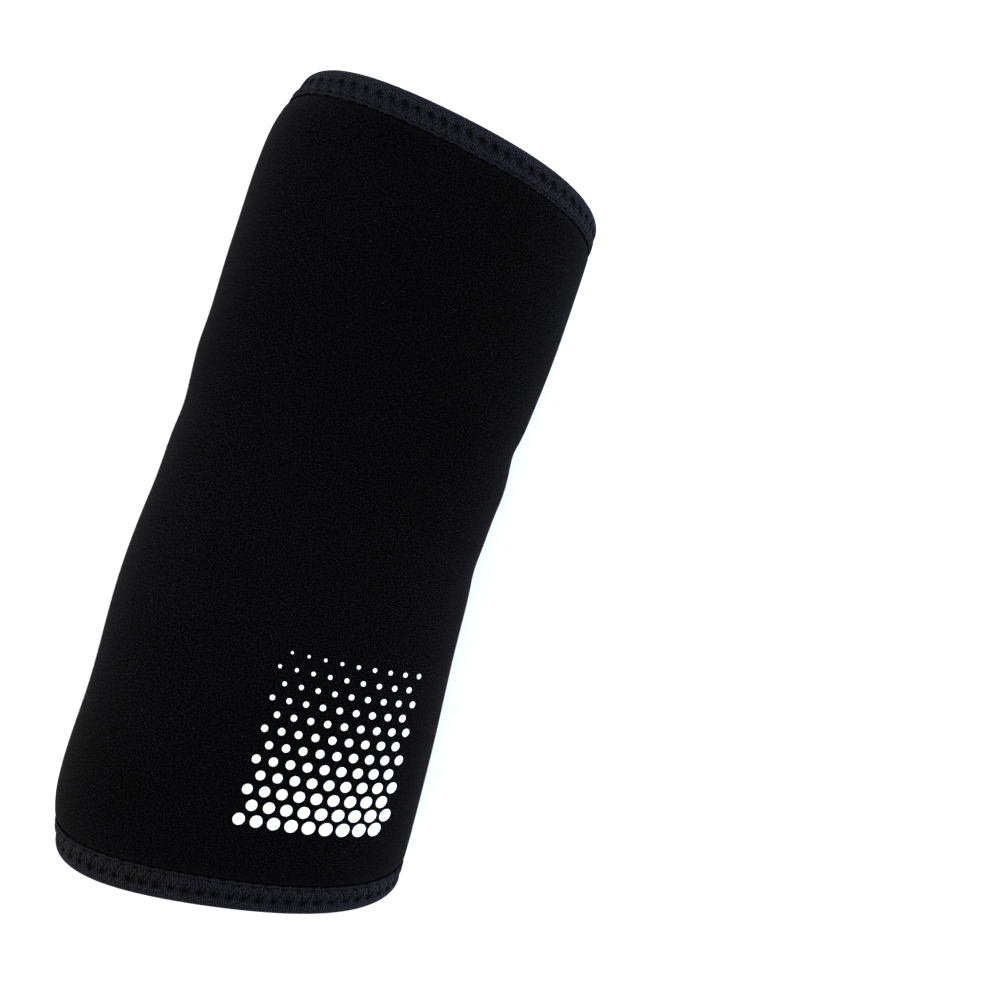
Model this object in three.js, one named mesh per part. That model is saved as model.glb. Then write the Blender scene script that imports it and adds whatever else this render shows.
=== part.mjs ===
// Elbow brace: a pre-curved foam rubber sleeve that is open at both ends, with a knitted binding
// folded over each cut edge. It lies on a surface with the inside of the elbow down, on the
// undersides of its two rims.
// Millimetres and degrees. +Y runs along the sleeve from the forearm rim to the upper arm rim, and
// +Z is up. The origin is on the surface, under the middle of the whole.
import * as THREE from "three";
import { ParametricGeometry } from "three/addons/geometries/ParametricGeometry.js";
import { mergeVertices } from "three/addons/utils/BufferGeometryUtils.js";

const { clamp, degToRad, lerp } = THREE.MathUtils;

// The sleeve as a whole.
const SLEEVE_LENGTH = 223.5; // along the centre line, from rim to rim
const SLEEVE_WIDTH = 106; // where it is widest, near the forearm rim
const SLEEVE_HEIGHT = 58; // of the oval opening at a rim
const ELBOW_BEND = 26; // how far the centre line turns between the rims
const RIM_PITCH = 18.7; // how far each rim's plane leans over the inside of the elbow
const FOREARM_RIM_SKEW = -8.4; // how far each rim is cut askew, seen from above
const UPPER_ARM_RIM_SKEW = 10.3;
const FULLNESS = 0.2; // how far the oval's shoulders fill out beyond an ellipse

// The foam wall.
const WALL_THICKNESS = 5;
const EDGE_THICKNESS = 2.6; // where the binding's stitches squeeze the foam
const PUFF_RUN = 2.6; // past the binding, over which the foam rounds up to its full thickness

// The bindings.
const BINDING_WIDTH = 8.8; // seen from outside, from the rim's tip to the tape's edge
const BINDING_THICKNESS = 0.8;
const CLEARANCE = 0.3; // between the tape and the foam

// How it lies.
const REST_FLAT = 1.8; // how far the weight flattens each rim's underside

// How finely the surfaces are divided.
const SIDES = 56; // around the sleeve
const OUTER_STATIONS = 25; // along the wall's outside, between its squeezed ends
const INNER_STATIONS = 13; // along its inside
const FLAP_STATIONS = 3; // across each flap of a binding, and under it
const PUFF_STATIONS = 4; // where the foam rounds up to its full thickness
const EDGE_STEPS = 4; // round the wall's cut edge, and the tape's inside over it
const FOLD_STEPS = 6; // round the tape's outside
const MERGE_DISTANCE = 1e-4;

// The oval from the forearm rim (along 0) to the upper arm rim (along 1).
// half: half width, and side: the middle's shift to +X, as shares of SLEEVE_WIDTH.
// above and below: heights over and under the centre line, as shares of SLEEVE_HEIGHT.
const OVALS = [
  { along: 0.0, half: 0.484, side: 0.008, above: 0.52, below: 0.48 },
  { along: 0.08, half: 0.5, side: -0.013, above: 0.525, below: 0.475 },
  { along: 0.22, half: 0.487, side: -0.012, above: 0.515, below: 0.46 },
  { along: 0.36, half: 0.478, side: -0.02, above: 0.5, below: 0.44 },
  { along: 0.5, half: 0.461, side: -0.009, above: 0.49, below: 0.43 },
  { along: 0.64, half: 0.464, side: 0.003, above: 0.49, below: 0.44 },
  { along: 0.78, half: 0.48, side: 0.016, above: 0.505, below: 0.46 },
  { along: 0.92, half: 0.484, side: 0.028, above: 0.52, below: 0.475 },
  { along: 1.0, half: 0.462, side: 0.057, above: 0.52, below: 0.48 },
];

// Soft creases and swells where the inside of the elbow crumples.
// along and run are shares of SLEEVE_LENGTH, around and spread are degrees from +X over the top,
// and depth, inwards, is a share of WALL_THICKNESS.
const CREASES = [
  { along: 0.648, run: 0.022, around: 325, spread: 40, depth: 0.3 },
  { along: 0.645, run: 0.03, around: 250, spread: 46, depth: 0.36 },
  { along: 0.645, run: 0.03, around: 180, spread: 36, depth: -0.14 },
  { along: 0.57, run: 0.03, around: 180, spread: 36, depth: 0.14 },
  { along: 0.59, run: 0.03, around: 0, spread: 36, depth: -0.1 },
  { along: 0.475, run: 0.03, around: 295, spread: 62, depth: 0.3 },
  { along: 0.56, run: 0.035, around: 275, spread: 50, depth: -0.2 },
  { along: 0.36, run: 0.045, around: 255, spread: 50, depth: 0.18 },
];

const halfLength = SLEEVE_LENGTH / 2;
const halfEdge = EDGE_THICKNESS / 2;
const tapeReach = CLEARANCE + BINDING_THICKNESS;
const wallEnd = halfLength - tapeReach; // the station of the wall's cut edge
const flapEnd = BINDING_WIDTH - tapeReach; // the tape's edge, counted from the cut edge
const puffStart = flapEnd + CLEARANCE;
const puffEnd = puffStart + PUFF_RUN;
const bend = degToRad(ELBOW_BEND);
const TOP = Math.PI / 2;
const BOTTOM = -Math.PI / 2;

// A column of the oval table at a share along the sleeve, on a smooth curve through the rows.
function ovalColumn(name, along) {
  const last = OVALS.length - 1;
  const slopeAt = (i) => {
    const before = OVALS[Math.max(i - 1, 0)];
    const after = OVALS[Math.min(i + 1, last)];
    return (after[name] - before[name]) / (after.along - before.along);
  };
  const next = OVALS.findIndex((row, i) => i === last || (i > 0 && row.along > along));
  const start = OVALS[next - 1];
  const end = OVALS[next];
  const span = end.along - start.along;
  const t = (along - start.along) / span;
  const fromStart = (2 * t - 3) * t * t + 1;
  const leaving = ((t - 2) * t + 1) * t * span;
  const arriving = (t - 1) * t * t * span;
  return (
    fromStart * start[name] +
    (1 - fromStart) * end[name] +
    leaving * slopeAt(next - 1) +
    arriving * slopeAt(next)
  );
}

// How deep the creases are at a share along the sleeve and an angle around it.
function creaseDepth(along, angle) {
  return CREASES.reduce((depth, crease) => {
    const aside = (along - crease.along) / crease.run;
    const turn = Math.cos(angle - degToRad(crease.around)) - 1;
    const round = (2 * turn) / degToRad(crease.spread) ** 2;
    return depth + crease.depth * WALL_THICKNESS * Math.exp(round - aside * aside);
  }, 0);
}

// A point of the sleeve before it is laid down. station runs along the centre line from the
// middle, angle goes round from +X over the top, and offset is outwards from the wall's middle.
function freePoint(station, angle, offset) {
  const along = station / SLEEVE_LENGTH + 0.5;
  const halfWidth = ovalColumn("half", along) * SLEEVE_WIDTH - WALL_THICKNESS / 2;
  const side = Math.sin(angle) >= 0 ? "above" : "below";
  const halfHeight = ovalColumn(side, along) * SLEEVE_HEIGHT - WALL_THICKNESS / 2;

  // The oval in its own plane, with its outward normal.
  const cosine = Math.cos(angle);
  const sine = Math.sin(angle);
  const across = halfWidth * cosine;
  const up = halfHeight * sine * (1 + FULLNESS * cosine * cosine);
  const acrossChange = -halfWidth * sine;
  const upChange = halfHeight * cosine * (1 + FULLNESS * (cosine * cosine - 2 * sine * sine));
  const speed = Math.hypot(acrossChange, upChange);
  const outwards = (offset - creaseDepth(along, angle)) / speed;
  const x = across + upChange * outwards;
  const z = up - acrossChange * outwards;

  // That plane at its place on the bent centre line, pitched and askew as its share of the rims.
  const radius = SLEEVE_LENGTH / bend;
  const turn = station / radius;
  const pitch = degToRad(RIM_PITCH) * (2 * along - 1);
  const skew = degToRad(lerp(FOREARM_RIM_SKEW, UPPER_ARM_RIM_SKEW, along));
  return new THREE.Vector3(
    ovalColumn("side", along) * SLEEVE_WIDTH + x * Math.cos(skew),
    radius * Math.sin(turn) - x * Math.sin(skew) + z * Math.sin(pitch),
    radius * (Math.cos(turn) - 1) + z * Math.cos(pitch),
  );
}

// Half of the wall's thickness at a distance from its cut edge. It is squeezed under the tape, and
// past it the foam rounds up to its full thickness on a quarter of an ellipse.
function halfWall(distance) {
  const short = 1 - clamp((distance - puffStart) / PUFF_RUN, 0, 1);
  return lerp(halfEdge, WALL_THICKNESS / 2, Math.sqrt(1 - short * short));
}

// The offset of what lies outermost at a station: the tape near the rims, and else the wall.
function skinOffset(station) {
  return Math.max(halfWall(wallEnd - Math.abs(station)), halfEdge + tapeReach);
}

// The surface that it lies on, which is a little over the rims' lowest points.
const rimLowest = [-1, 1].map((end) => {
  const station = end * (wallEnd - halfEdge);
  return freePoint(station, BOTTOM, skinOffset(station)).z;
});
const restHeight = Math.max(...rimLowest) + REST_FLAT;

// A point of the sleeve as it lies, lifted with its whole thickness where the surface flattens it.
function layPoint(station, angle, offset) {
  const point = freePoint(station, angle, offset);
  const skin = freePoint(station, angle, skinOffset(station));
  point.z += Math.max(0, restHeight - skin.z);
  return point;
}

// Turns a closed profile of [station, offset] pairs round the sleeve into a closed solid. The
// profile runs down the outside first, from the upper arm to the forearm.
function turnedRound(profile) {
  const surface = (u, v, target) => {
    const [station, offset] = profile[Math.round(v * profile.length) % profile.length];
    target.copy(layPoint(station, 2 * Math.PI * (u % 1), offset));
  };
  const open = new ParametricGeometry(surface, SIDES, profile.length);
  open.deleteAttribute("normal");
  open.deleteAttribute("uv");
  const closed = mergeVertices(open, MERGE_DISTANCE);
  closed.computeVertexNormals();
  return closed;
}

// count values from one number to another, with both.
function spaced(from, to, count) {
  return Array.from({ length: count }, (_, i) => lerp(from, to, i / (count - 1)));
}

// The wall's or the tape's rounded tip at the upper arm, from the outside to the inside.
function tipArc(radius, steps) {
  return spaced(TOP, BOTTOM, steps + 1).map((angle) => [
    wallEnd - halfEdge + radius * Math.cos(angle),
    radius * Math.sin(angle),
  ]);
}

// The same profile at the forearm, in the order that keeps its outside facing out.
function atForearm(profile) {
  return profile.map(([station, offset]) => [-station, offset]).reverse();
}

// The foam wall's profile: squeezed under the tapes and full between them.
function wallProfile() {
  const squeezed = spaced(halfEdge, puffStart, FLAP_STATIONS).slice(1);
  const puff = spaced(0, TOP, PUFF_STATIONS)
    .slice(1)
    .map((turn) => puffStart + PUFF_RUN * (1 - Math.cos(turn)));
  const upperEnd = [...squeezed, ...puff].map((distance) => wallEnd - distance);
  const lowerEnd = upperEnd.map((station) => -station).reverse();
  const face = (count, side) => {
    const middle = spaced(wallEnd - puffEnd, puffEnd - wallEnd, count).slice(1, -1);
    return [...upperEnd, ...middle, ...lowerEnd].map((station) => [
      station,
      side * halfWall(wallEnd - Math.abs(station)),
    ]);
  };
  const upperTip = tipArc(halfEdge, EDGE_STEPS).reverse();
  const inside = face(INNER_STATIONS, -1).reverse();
  return [...upperTip, ...face(OUTER_STATIONS, 1), ...atForearm(upperTip), ...inside];
}

// The upper arm binding's profile: tape down the outside, round the cut edge and up the inside.
function bindingProfile() {
  const distances = spaced(halfEdge, flapEnd, FLAP_STATIONS).slice(1);
  const flap = (side, reach) =>
    distances.map((distance) => [wallEnd - distance, side * (halfWall(distance) + reach)]);
  return [
    ...tipArc(halfEdge + tapeReach, FOLD_STEPS).reverse(),
    ...flap(1, tapeReach),
    ...flap(1, CLEARANCE).reverse(),
    ...tipArc(halfEdge + CLEARANCE, EDGE_STEPS),
    ...flap(-1, CLEARANCE),
    ...flap(-1, tapeReach).reverse(),
  ];
}

function piece(name, geometry, material) {
  const mesh = new THREE.Mesh(geometry, material);
  mesh.name = name;
  return mesh;
}

const foamJersey = new THREE.MeshStandardMaterial({ color: 0x0d0d10, roughness: 0.85 });
const knittedTape = new THREE.MeshStandardMaterial({ color: 0x16181f, roughness: 0.75 });

const brace = new THREE.Group();
brace.add(
  piece("sleeve", turnedRound(wallProfile()), foamJersey),
  piece("upper_arm_binding", turnedRound(bindingProfile()), knittedTape),
  piece("forearm_binding", turnedRound(atForearm(bindingProfile())), knittedTape),
);

// The middle of the whole comes over the origin, with the rims on the surface.
const box = new THREE.Box3().setFromObject(brace);
const middle = box.getCenter(new THREE.Vector3());
brace.position.set(-middle.x, -middle.y, -box.min.z);

export default brace;
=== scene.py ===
"""Elbow brace: a pre-curved foam rubber sleeve with a stitched knit binding on each rim.

The sleeve lies on a pale floor with the inside of the elbow down, seen from straight above.
Everything is in metres, in the frame's own axes: +Y runs along the sleeve from the forearm rim to
the upper arm rim, and +Z is up. A place on the sleeve is given by three numbers: a station along the
bent centre line from its middle, an angle round it from +X over the top, and an offset outwards
from the middle of the wall.
"""

import math

import bpy
import numpy as np
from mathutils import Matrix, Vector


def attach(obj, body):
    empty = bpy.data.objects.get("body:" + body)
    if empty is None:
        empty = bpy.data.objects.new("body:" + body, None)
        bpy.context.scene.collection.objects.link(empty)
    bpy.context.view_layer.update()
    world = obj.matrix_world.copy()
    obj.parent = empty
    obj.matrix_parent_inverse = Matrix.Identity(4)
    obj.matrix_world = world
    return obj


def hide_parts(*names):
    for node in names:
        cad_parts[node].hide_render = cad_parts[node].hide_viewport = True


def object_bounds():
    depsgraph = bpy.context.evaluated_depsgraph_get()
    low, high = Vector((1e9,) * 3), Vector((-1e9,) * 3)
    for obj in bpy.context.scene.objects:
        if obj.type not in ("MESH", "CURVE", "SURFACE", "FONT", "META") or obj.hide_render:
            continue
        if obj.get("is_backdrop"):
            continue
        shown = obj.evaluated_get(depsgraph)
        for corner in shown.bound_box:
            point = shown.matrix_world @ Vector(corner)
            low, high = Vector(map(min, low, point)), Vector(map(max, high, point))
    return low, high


bl_info = {
    "name": "Elbow Brace",
    "version": (1, 0, 0),
    "blender": (4, 5, 0),
    "location": "View3D > Sidebar > Elbow Brace",
    "description": "Models a stitched foam rubber elbow brace and its studio",
    "category": "Add Mesh",
}

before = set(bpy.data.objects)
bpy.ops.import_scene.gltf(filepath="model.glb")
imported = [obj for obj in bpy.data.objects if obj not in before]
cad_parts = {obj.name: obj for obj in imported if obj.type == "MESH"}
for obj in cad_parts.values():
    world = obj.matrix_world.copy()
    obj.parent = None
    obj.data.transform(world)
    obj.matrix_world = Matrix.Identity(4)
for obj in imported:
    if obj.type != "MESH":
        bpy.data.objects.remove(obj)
CAD_LOW, CAD_HIGH = (np.array(corner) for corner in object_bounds())

MM = 0.001
FULL_TURN = 2 * math.pi

# How finely the surfaces are divided.
ROUND_LINES = 384
OUTSIDE_LINES = 131
INSIDE_LINES = 41
OUTSIDE_SHOULDER_LINES = 14
INSIDE_SHOULDER_LINES = 6
SQUEEZED_LINES = 4
CUT_EDGE_LINES = 5
STITCH_LINES = 18
OUTSIDE_FLAP_LINES = 29
INSIDE_FLAP_LINES = 16
FACE_FOLD_LINES = 15
BACK_FLAP_LINES = 4
BACK_FOLD_LINES = 4
TAPE_EDGE_LINES = 4
LEG_LINES = 14
THREAD_SIDES = 6
DOT_SIDES = 28
ARC_LINES = 1441
BOX_ANGLE_LINES = 361
BOX_STATION_LINES = 241

# The tape's lines crowd towards its edge: their way from it goes as a share to this power.
EDGE_CROWDING = 1.35

# How softly a rim's underside turns into its flat patch.
REST_SOFTENING = 0.3 * MM

# The relief of the stitched tape beside the panel's pull and hole, in metres and shares. The dip
# along a leg has a reach on each side of the leg, and a far needle hole has a wide, faint skirt. The
# face keeps a least cover over the foam, and the far row wavers a little.
DIP_REACH_TO_EDGE = 0.6 * MM
DIP_REACH_TO_ROLL = 1.2 * MM
FAR_HOLE_REACH = 0.5 * MM
SKIRT_REACH = 1.3 * MM
SKIRT_SHARE = 0.4
NEAR_HOLE_REACH = 0.45 * MM
NEAR_HOLE_SHARE = 0.6
GROOVE_DEPTH = 0.22 * MM
GROOVE_FROM_EDGE = 0.85 * MM
GROOVE_REACH = 0.3 * MM
PUFF_HEIGHT = 0.2 * MM
LEAST_COVER = 0.15 * MM
ROW_UNEVENNESS = 0.14 * MM

# How far the near holes draw in the tape's edge and the sleeve's face beside it, how uneven that
# is round the rim, and how far it reaches.
EDGE_DRAW = 0.2 * MM
EDGE_DRAW_UNEVENNESS = 0.1 * MM
EDGE_DRAW_REACH = 1.1 * MM
PUCKER_DEPTH = 0.2 * MM
PUCKER_UNEVENNESS = 0.08 * MM
PUCKER_REACH = 2.2 * MM
PUCKER_START = 0.6 * MM

# The foam's own dents fade out over this way towards the tapes.
DENTS_FADE = 12 * MM

# The thread stands out of its valley by this share of its radius, and dives into a needle hole.
THREAD_STAND = 0.6
DIVE_DEPTH = 0.5 * MM
FAR_DIVE_REACH = 0.75 * MM
NEAR_DIVE_REACH = 0.5 * MM

# A printed dot's rings, as shares of its radius and of the ink's height over the sleeve's face.
DOT_RINGS = np.array([(0, 1), (0.72, 1), (0.93, 0.85), (1, 0.35), (0.98, -1.2), (0, -1.2)])

# How dark each part of the stitched tape is painted, as shares, and how much paler the lip is: painted
# shade where the band, the groove and the side wall lie in shade, and a painted highlight on the lip.
SIDE_SHADE = 0.35
BAND_SHADE = 0.26
GROOVE_SHADE = 0.45
LIP_SHADE = -0.9
PALEST_SHADE = -0.6
DEEPEST_SHADE = 1.05
VALLEY_RUN = 0.45 * MM

# The spots of painted shade at the far needle hole, the hole itself and the fan beside it in the
# rolled rim's shadow, and at the near one.
# Each is a bell: how dark it is, its place from the needle hole, back round the rim and towards the
# tape's edge, how much longer than wide it is, and its reach.
SPOT_COLUMNS = [(name, float) for name in ("shade", "back", "inwards", "length", "reach")]
HOLE_SPOTS = {
    1: np.array((1.8, 0, 0, 1.3, 0.6 * MM), dtype=SPOT_COLUMNS),
    -1: np.array((1.8, 0, 0, 1.8, 0.6 * MM), dtype=SPOT_COLUMNS),
}
FAN_SPOT = np.array((0.7, 0.7 * MM, 1.1 * MM, 1.3, 1.0 * MM), dtype=SPOT_COLUMNS)
NEAR_SPOT = np.array((0.8, 0, 0.15 * MM, 1.4, 0.38 * MM), dtype=SPOT_COLUMNS)

# How dark the painted shade is in the valley beyond the thread and on the rolled rim, at the upper
# arm (1) and the forearm (-1).
VALLEY_SHADES = {1: 0.15, -1: 0.4}
ROLL_SHADES = {1: 0.0, -1: 0.14}

# The camera stands over this point. The scale holds at the height of the centre line's middle.
CAMERA_OVER = (48.8 * MM, 15.9 * MM)
REFERENCE_HEIGHT = 37 * MM
SENSOR_WIDTH = 36.0
IMAGE_WIDTH = 1000
FLOOR_HALF_WIDTH = 4.0

# Each softbox: its name, its field of the panel, its colour, and its place from the sleeve's middle
# in metres to the picture's right, to its top and upwards.
SOFTBOX_SIZE = 0.7
SOFTBOXES = (
    ("left_softbox", "left_power", (1, 0.97, 0.92), (-0.95, 0.1, 0.08)),
    ("right_softbox", "right_power", (0.6, 0.7, 1), (0.95, -0.35, 0.25)),
    ("back_softbox", "back_power", (0.6, 0.75, 1), (0.35, 0.85, 0.45)),
)

# The fabrics' patterns. A grain's round and along are its spots' sizes round the sleeve and along
# it, and a tone is a wide, faint grain. Levels are what a colour is multiplied by where its pattern
# is 0 and where it is 1, and depths are those of the bumps.
COURSE = 0.68 * MM
WALE = 0.8 * MM
RIB = 0.7 * MM
PLY = 0.45 * MM
KNIT_GRAIN = {"round": 0.46 * MM, "along": 0.43 * MM, "detail": 2.0, "contrast": 4.6}
KNIT_TONE = {"round": 24 * MM, "along": 18 * MM, "detail": 1.0, "contrast": 2.0}
KNIT_LINT = {"spacing": 7 * MM, "radius": 0.03, "share": 0.45}
TAPE_GRAIN = {"round": 0.32 * MM, "along": 0.5 * MM, "detail": 1.0, "contrast": 4.5}
TAPE_TONE = {"round": 7 * MM, "along": 3 * MM, "detail": 2.0, "contrast": 2.0}
TAPE_LINT = {"spacing": 5 * MM, "radius": 0.05, "share": 0.3}
INK_GRAIN = {"round": 1.2 * MM, "along": 0.9 * MM, "detail": 3.0, "contrast": 2.5}
KNIT_LEVELS = (0.05, 4.0)
TAPE_LEVELS = (0.1, 3.6)
THREAD_LEVELS = (0.5, 1.5)
INK_LEVELS = (1.0, 0.5)
FLOOR_LEVELS = (0.985, 1.0)
LOOP_DEPTH = 0.14 * MM
KNIT_GRAIN_DEPTH = 0.12 * MM
RIB_DEPTH = 0.16 * MM
TAPE_GRAIN_DEPTH = 0.08 * MM
PLY_DEPTH = 0.05 * MM
INK_DEPTH = 0.03 * MM
KNIT_LINT_COLOUR = (0.035, 0.035, 0.036, 1)
TAPE_LINT_COLOUR = (0.06, 0.062, 0.068, 1)

# The knit is painted paler by a bell along the sleeve, most here and over this reach: partly the
# elbow's stretch of the knit and partly painted light that the elbow's bulge catches.
STRETCH_AND_LIGHT_STATION = -22 * MM
STRETCH_AND_LIGHT_REACH = 42 * MM

# What is the same all over a material, set on its shader's own sockets.
KNIT_FINISH = {
    "Specular IOR Level": 0.008,
    "Sheen Weight": 0.017,
    "Sheen Roughness": 0.3,
    "Sheen Tint": (1, 0.97, 0.97, 1),
}
TAPE_FINISH = {
    "Specular IOR Level": 0.02,
    "Sheen Weight": 0.003,
    "Sheen Roughness": 0.35,
    "Sheen Tint": (0.8, 0.86, 1, 1),
}
THREAD_FINISH = {"Roughness": 0.45, "Specular IOR Level": 0.08}
INK_FINISH = {"Specular IOR Level": 0.3}
FLOOR_FINISH = {"Roughness": 0.9, "Specular IOR Level": 0.1}

# The oval from the forearm rim (along 0) to the upper arm rim (along 1).
# half: half width, and side: the middle's shift to +X, as shares of the sleeve's width.
# above and below: heights over and under the centre line, as shares of the sleeve's height.
OVALS = np.array(
    [
        (0.00, 0.484, 0.008, 0.520, 0.480),
        (0.08, 0.500, -0.013, 0.525, 0.475),
        (0.22, 0.487, -0.012, 0.515, 0.460),
        (0.36, 0.478, -0.020, 0.500, 0.440),
        (0.50, 0.461, -0.009, 0.490, 0.430),
        (0.64, 0.464, 0.003, 0.490, 0.440),
        (0.78, 0.480, 0.016, 0.505, 0.460),
        (0.92, 0.484, 0.028, 0.520, 0.475),
        (1.00, 0.462, 0.057, 0.520, 0.480),
    ],
    dtype=[(name, float) for name in ("along", "half", "side", "above", "below")],
)

# Soft creases and swells where the inside of the elbow crumples, then the slight unevenness of the
# foam. along and run are shares of the sleeve's length, around and spread are degrees from +X over
# the top, and depth, inwards, is a share of the wall's thickness.
HOLLOW_COLUMNS = [(name, float) for name in ("along", "run", "around", "spread", "depth")]
CREASES = np.array(
    [
        (0.648, 0.022, 325, 40, 0.30),
        (0.645, 0.030, 250, 46, 0.36),
        (0.645, 0.030, 180, 36, -0.14),
        (0.570, 0.030, 180, 36, 0.14),
        (0.590, 0.030, 0, 36, -0.10),
        (0.475, 0.030, 295, 62, 0.30),
        (0.560, 0.035, 275, 50, -0.20),
        (0.360, 0.045, 255, 50, 0.18),
    ],
    dtype=HOLLOW_COLUMNS,
)
DENTS = np.array(
    [
        (0.130, 0.070, 120, 26, 0.05),
        (0.200, 0.060, 40, 22, 0.05),
        (0.330, 0.090, 75, 30, -0.05),
        (0.420, 0.070, 140, 24, 0.06),
        (0.530, 0.080, 60, 26, 0.06),
        (0.660, 0.060, 110, 30, 0.05),
        (0.730, 0.080, 30, 24, 0.05),
        (0.840, 0.060, 150, 22, 0.06),
        (0.880, 0.070, 80, 26, -0.05),
        (0.250, 0.080, 210, 30, 0.07),
        (0.760, 0.070, 300, 34, 0.06),
    ],
    dtype=HOLLOW_COLUMNS,
)


def smooth_share(value, low, high):
    """0 up to low, 1 from high, and between them 3 t squared less 2 t cubed of the share t."""
    t = np.clip((value - low) / (high - low), 0, 1)
    return t * t * (3 - 2 * t)


def bell(distance, reach):
    """A bell curve: 1 at distance 0, falling as e to the minus square of distance over reach."""
    return np.exp(-((distance / reach) ** 2))


def spot(row, to_hole, past_hole):
    """How dark one of the tape's spots of painted shade is: a bell over its distance, drawn out by its
    length.
    """
    across = (to_hole + row["back"]) / row["length"]
    return row["shade"] * bell(np.hypot(across, past_hole + row["inwards"]), row["reach"])


def oval_column(name, along):
    """The oval table's column at shares along the sleeve.

    Between two rows it is the cubic whose slope at each row is that of the line that joins the
    row's two neighbours.
    """
    places, values = OVALS["along"], OVALS[name]
    index = np.arange(len(places))
    before = np.maximum(index - 1, 0)
    after = np.minimum(index + 1, len(places) - 1)
    slopes = (values[after] - values[before]) / (places[after] - places[before])
    start = np.clip(np.searchsorted(places, along, side="right") - 1, 0, len(places) - 2)
    span = places[start + 1] - places[start]
    t = (along - places[start]) / span
    from_start = (2 * t - 3) * t * t + 1
    leaving = ((t - 2) * t + 1) * t * span
    arriving = (t - 1) * t * t * span
    return (
        from_start * values[start]
        + (1 - from_start) * values[start + 1]
        + leaving * slopes[start]
        + arriving * slopes[start + 1]
    )


def hollow_depth(table, along, angle):
    """How deep a table's hollows are: the sum of bells along the sleeve times bells round it.

    Round the sleeve the bell's square is twice 1 less the cosine, so that it closes on itself.
    """
    total = np.zeros(np.broadcast(along, angle).shape)
    for row in table:
        aside = (along - row["along"]) / row["run"]
        turn = np.cos(angle - math.radians(row["around"])) - 1
        total += row["depth"] * np.exp(2 * turn / math.radians(row["spread"]) ** 2 - aside**2)
    return total


def length_field(name, description, metres):
    """A field of the panel for a length."""
    return bpy.props.FloatProperty(
        name=name, description=description, default=metres, unit="LENGTH"
    )


def angle_field(name, description, degrees):
    """A field of the panel for an angle."""
    return bpy.props.FloatProperty(
        name=name, description=description, default=math.radians(degrees), subtype="ANGLE"
    )


def power_field(name, description, watts):
    """A field of the panel for a light's power."""
    return bpy.props.FloatProperty(
        name=name, description=description, default=watts, unit="POWER"
    )


def number_field(name, description, default):
    """A field of the panel for a plain number."""
    return bpy.props.FloatProperty(name=name, description=description, default=default)


def count_field(name, description, default, least=1):
    """A field of the panel for a whole number."""
    return bpy.props.IntProperty(name=name, description=description, default=default, min=least)


def colour_field(name, description, default):
    """A field of the panel for a colour."""
    return bpy.props.FloatVectorProperty(
        name=name, description=description, default=default, subtype="COLOR"
    )


class BraceSizes(bpy.types.PropertyGroup):
    """The sizes that shape the sleeve and its bindings."""

    length: length_field("Length", "Along the centre line, from rim to rim", 223.5 * MM)
    width: length_field("Width", "Across the sleeve where it is widest", 106 * MM)
    height: length_field("Height", "Of the oval opening at a rim", 58 * MM)
    bend: angle_field("Bend", "How far the centre line turns between the rims", 26)
    rim_pitch: angle_field("Rim pitch", "How far each rim leans over the inside of the elbow", 18.7)
    forearm_skew: angle_field(
        "Forearm rim skew", "How far the forearm rim is cut askew, seen from above", -8.4
    )
    upper_arm_skew: angle_field(
        "Upper arm rim skew", "How far the upper arm rim is cut askew, seen from above", 10.3
    )
    fullness: number_field(
        "Fullness", "How far the oval's shoulders fill out beyond an ellipse", 0.2
    )
    wall: length_field("Wall", "Thickness of the foam rubber with its two faces of knit", 5 * MM)
    edge: length_field(
        "Squeezed edge", "Thickness of the wall where the binding's stitches squeeze it", 2.6 * MM
    )
    puff_run: length_field(
        "Puff run", "Past the binding, over which the foam rounds up to its full thickness", 2.6 * MM
    )
    tape_width: length_field(
        "Tape width", "From the rim's tip to the tape's edge, seen from outside", 8.8 * MM
    )
    tape: length_field("Tape thickness", "Of the knit tape", 0.8 * MM)
    clearance: length_field("Clearance", "Between the tape and the foam", 0.3 * MM)
    rest_flat: length_field(
        "Flattened", "How far the weight flattens each rim's underside", 1.8 * MM
    )


class StitchSizes(bpy.types.PropertyGroup):
    """The zigzag seam that holds each binding."""

    stitches: count_field("Stitches", "Whole zigzags round a rim", 62, least=8)
    near_row: length_field(
        "Near row", "From the tape's edge to the needle holes beside it", 1.1 * MM
    )
    far_row: length_field(
        "Far row", "From the tape's edge to the needle holes beside the rolled rim", 4.8 * MM
    )
    upper_arm_lean: number_field(
        "Upper arm lean", "Where along a stitch the far needle hole lies, from the near one", 0.62
    )
    forearm_lean: number_field(
        "Forearm lean", "Where along a stitch the far needle hole lies, from the near one", 0.55
    )
    upper_arm_sink: length_field(
        "Upper arm sink", "How deep the leg that goes out to the far hole lies in the tape", 0.2 * MM
    )
    forearm_sink: length_field(
        "Forearm sink", "How deep the leg that comes back from the far hole lies in the tape", 0.14 * MM
    )
    thread: length_field("Thread", "Diameter of the sewing thread", 0.3 * MM)
    pull: length_field("Pull", "How deep a stitch pulls into the tape between its holes", 0.36 * MM)
    hole: length_field(
        "Hole", "How much deeper the tape is drawn in at a needle hole by the rolled rim", 0.5 * MM
    )


class PrintSizes(bpy.types.PropertyGroup):
    """The patch of printed dots near the forearm rim."""

    station: length_field("Station", "Of the patch's middle, along the centre line", -62 * MM)
    from_crown: length_field(
        "From crown", "Of the patch's middle, round the sleeve from its top line towards +X", 25 * MM
    )
    rows: count_field("Rows", "Rows of dots along the sleeve", 12)
    columns: count_field("Columns", "Dots in a row", 9)
    pitch: length_field("Pitch", "Between neighbouring dots of a row", 4.9 * MM)
    largest: length_field("Largest dot", "Radius of the dots by the forearm rim", 2.05 * MM)
    smallest: length_field("Smallest dot", "Radius of the dots furthest from it", 0.4 * MM)
    ink: length_field("Ink", "Thickness of the printed film above the knit", 0.08 * MM)


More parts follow.
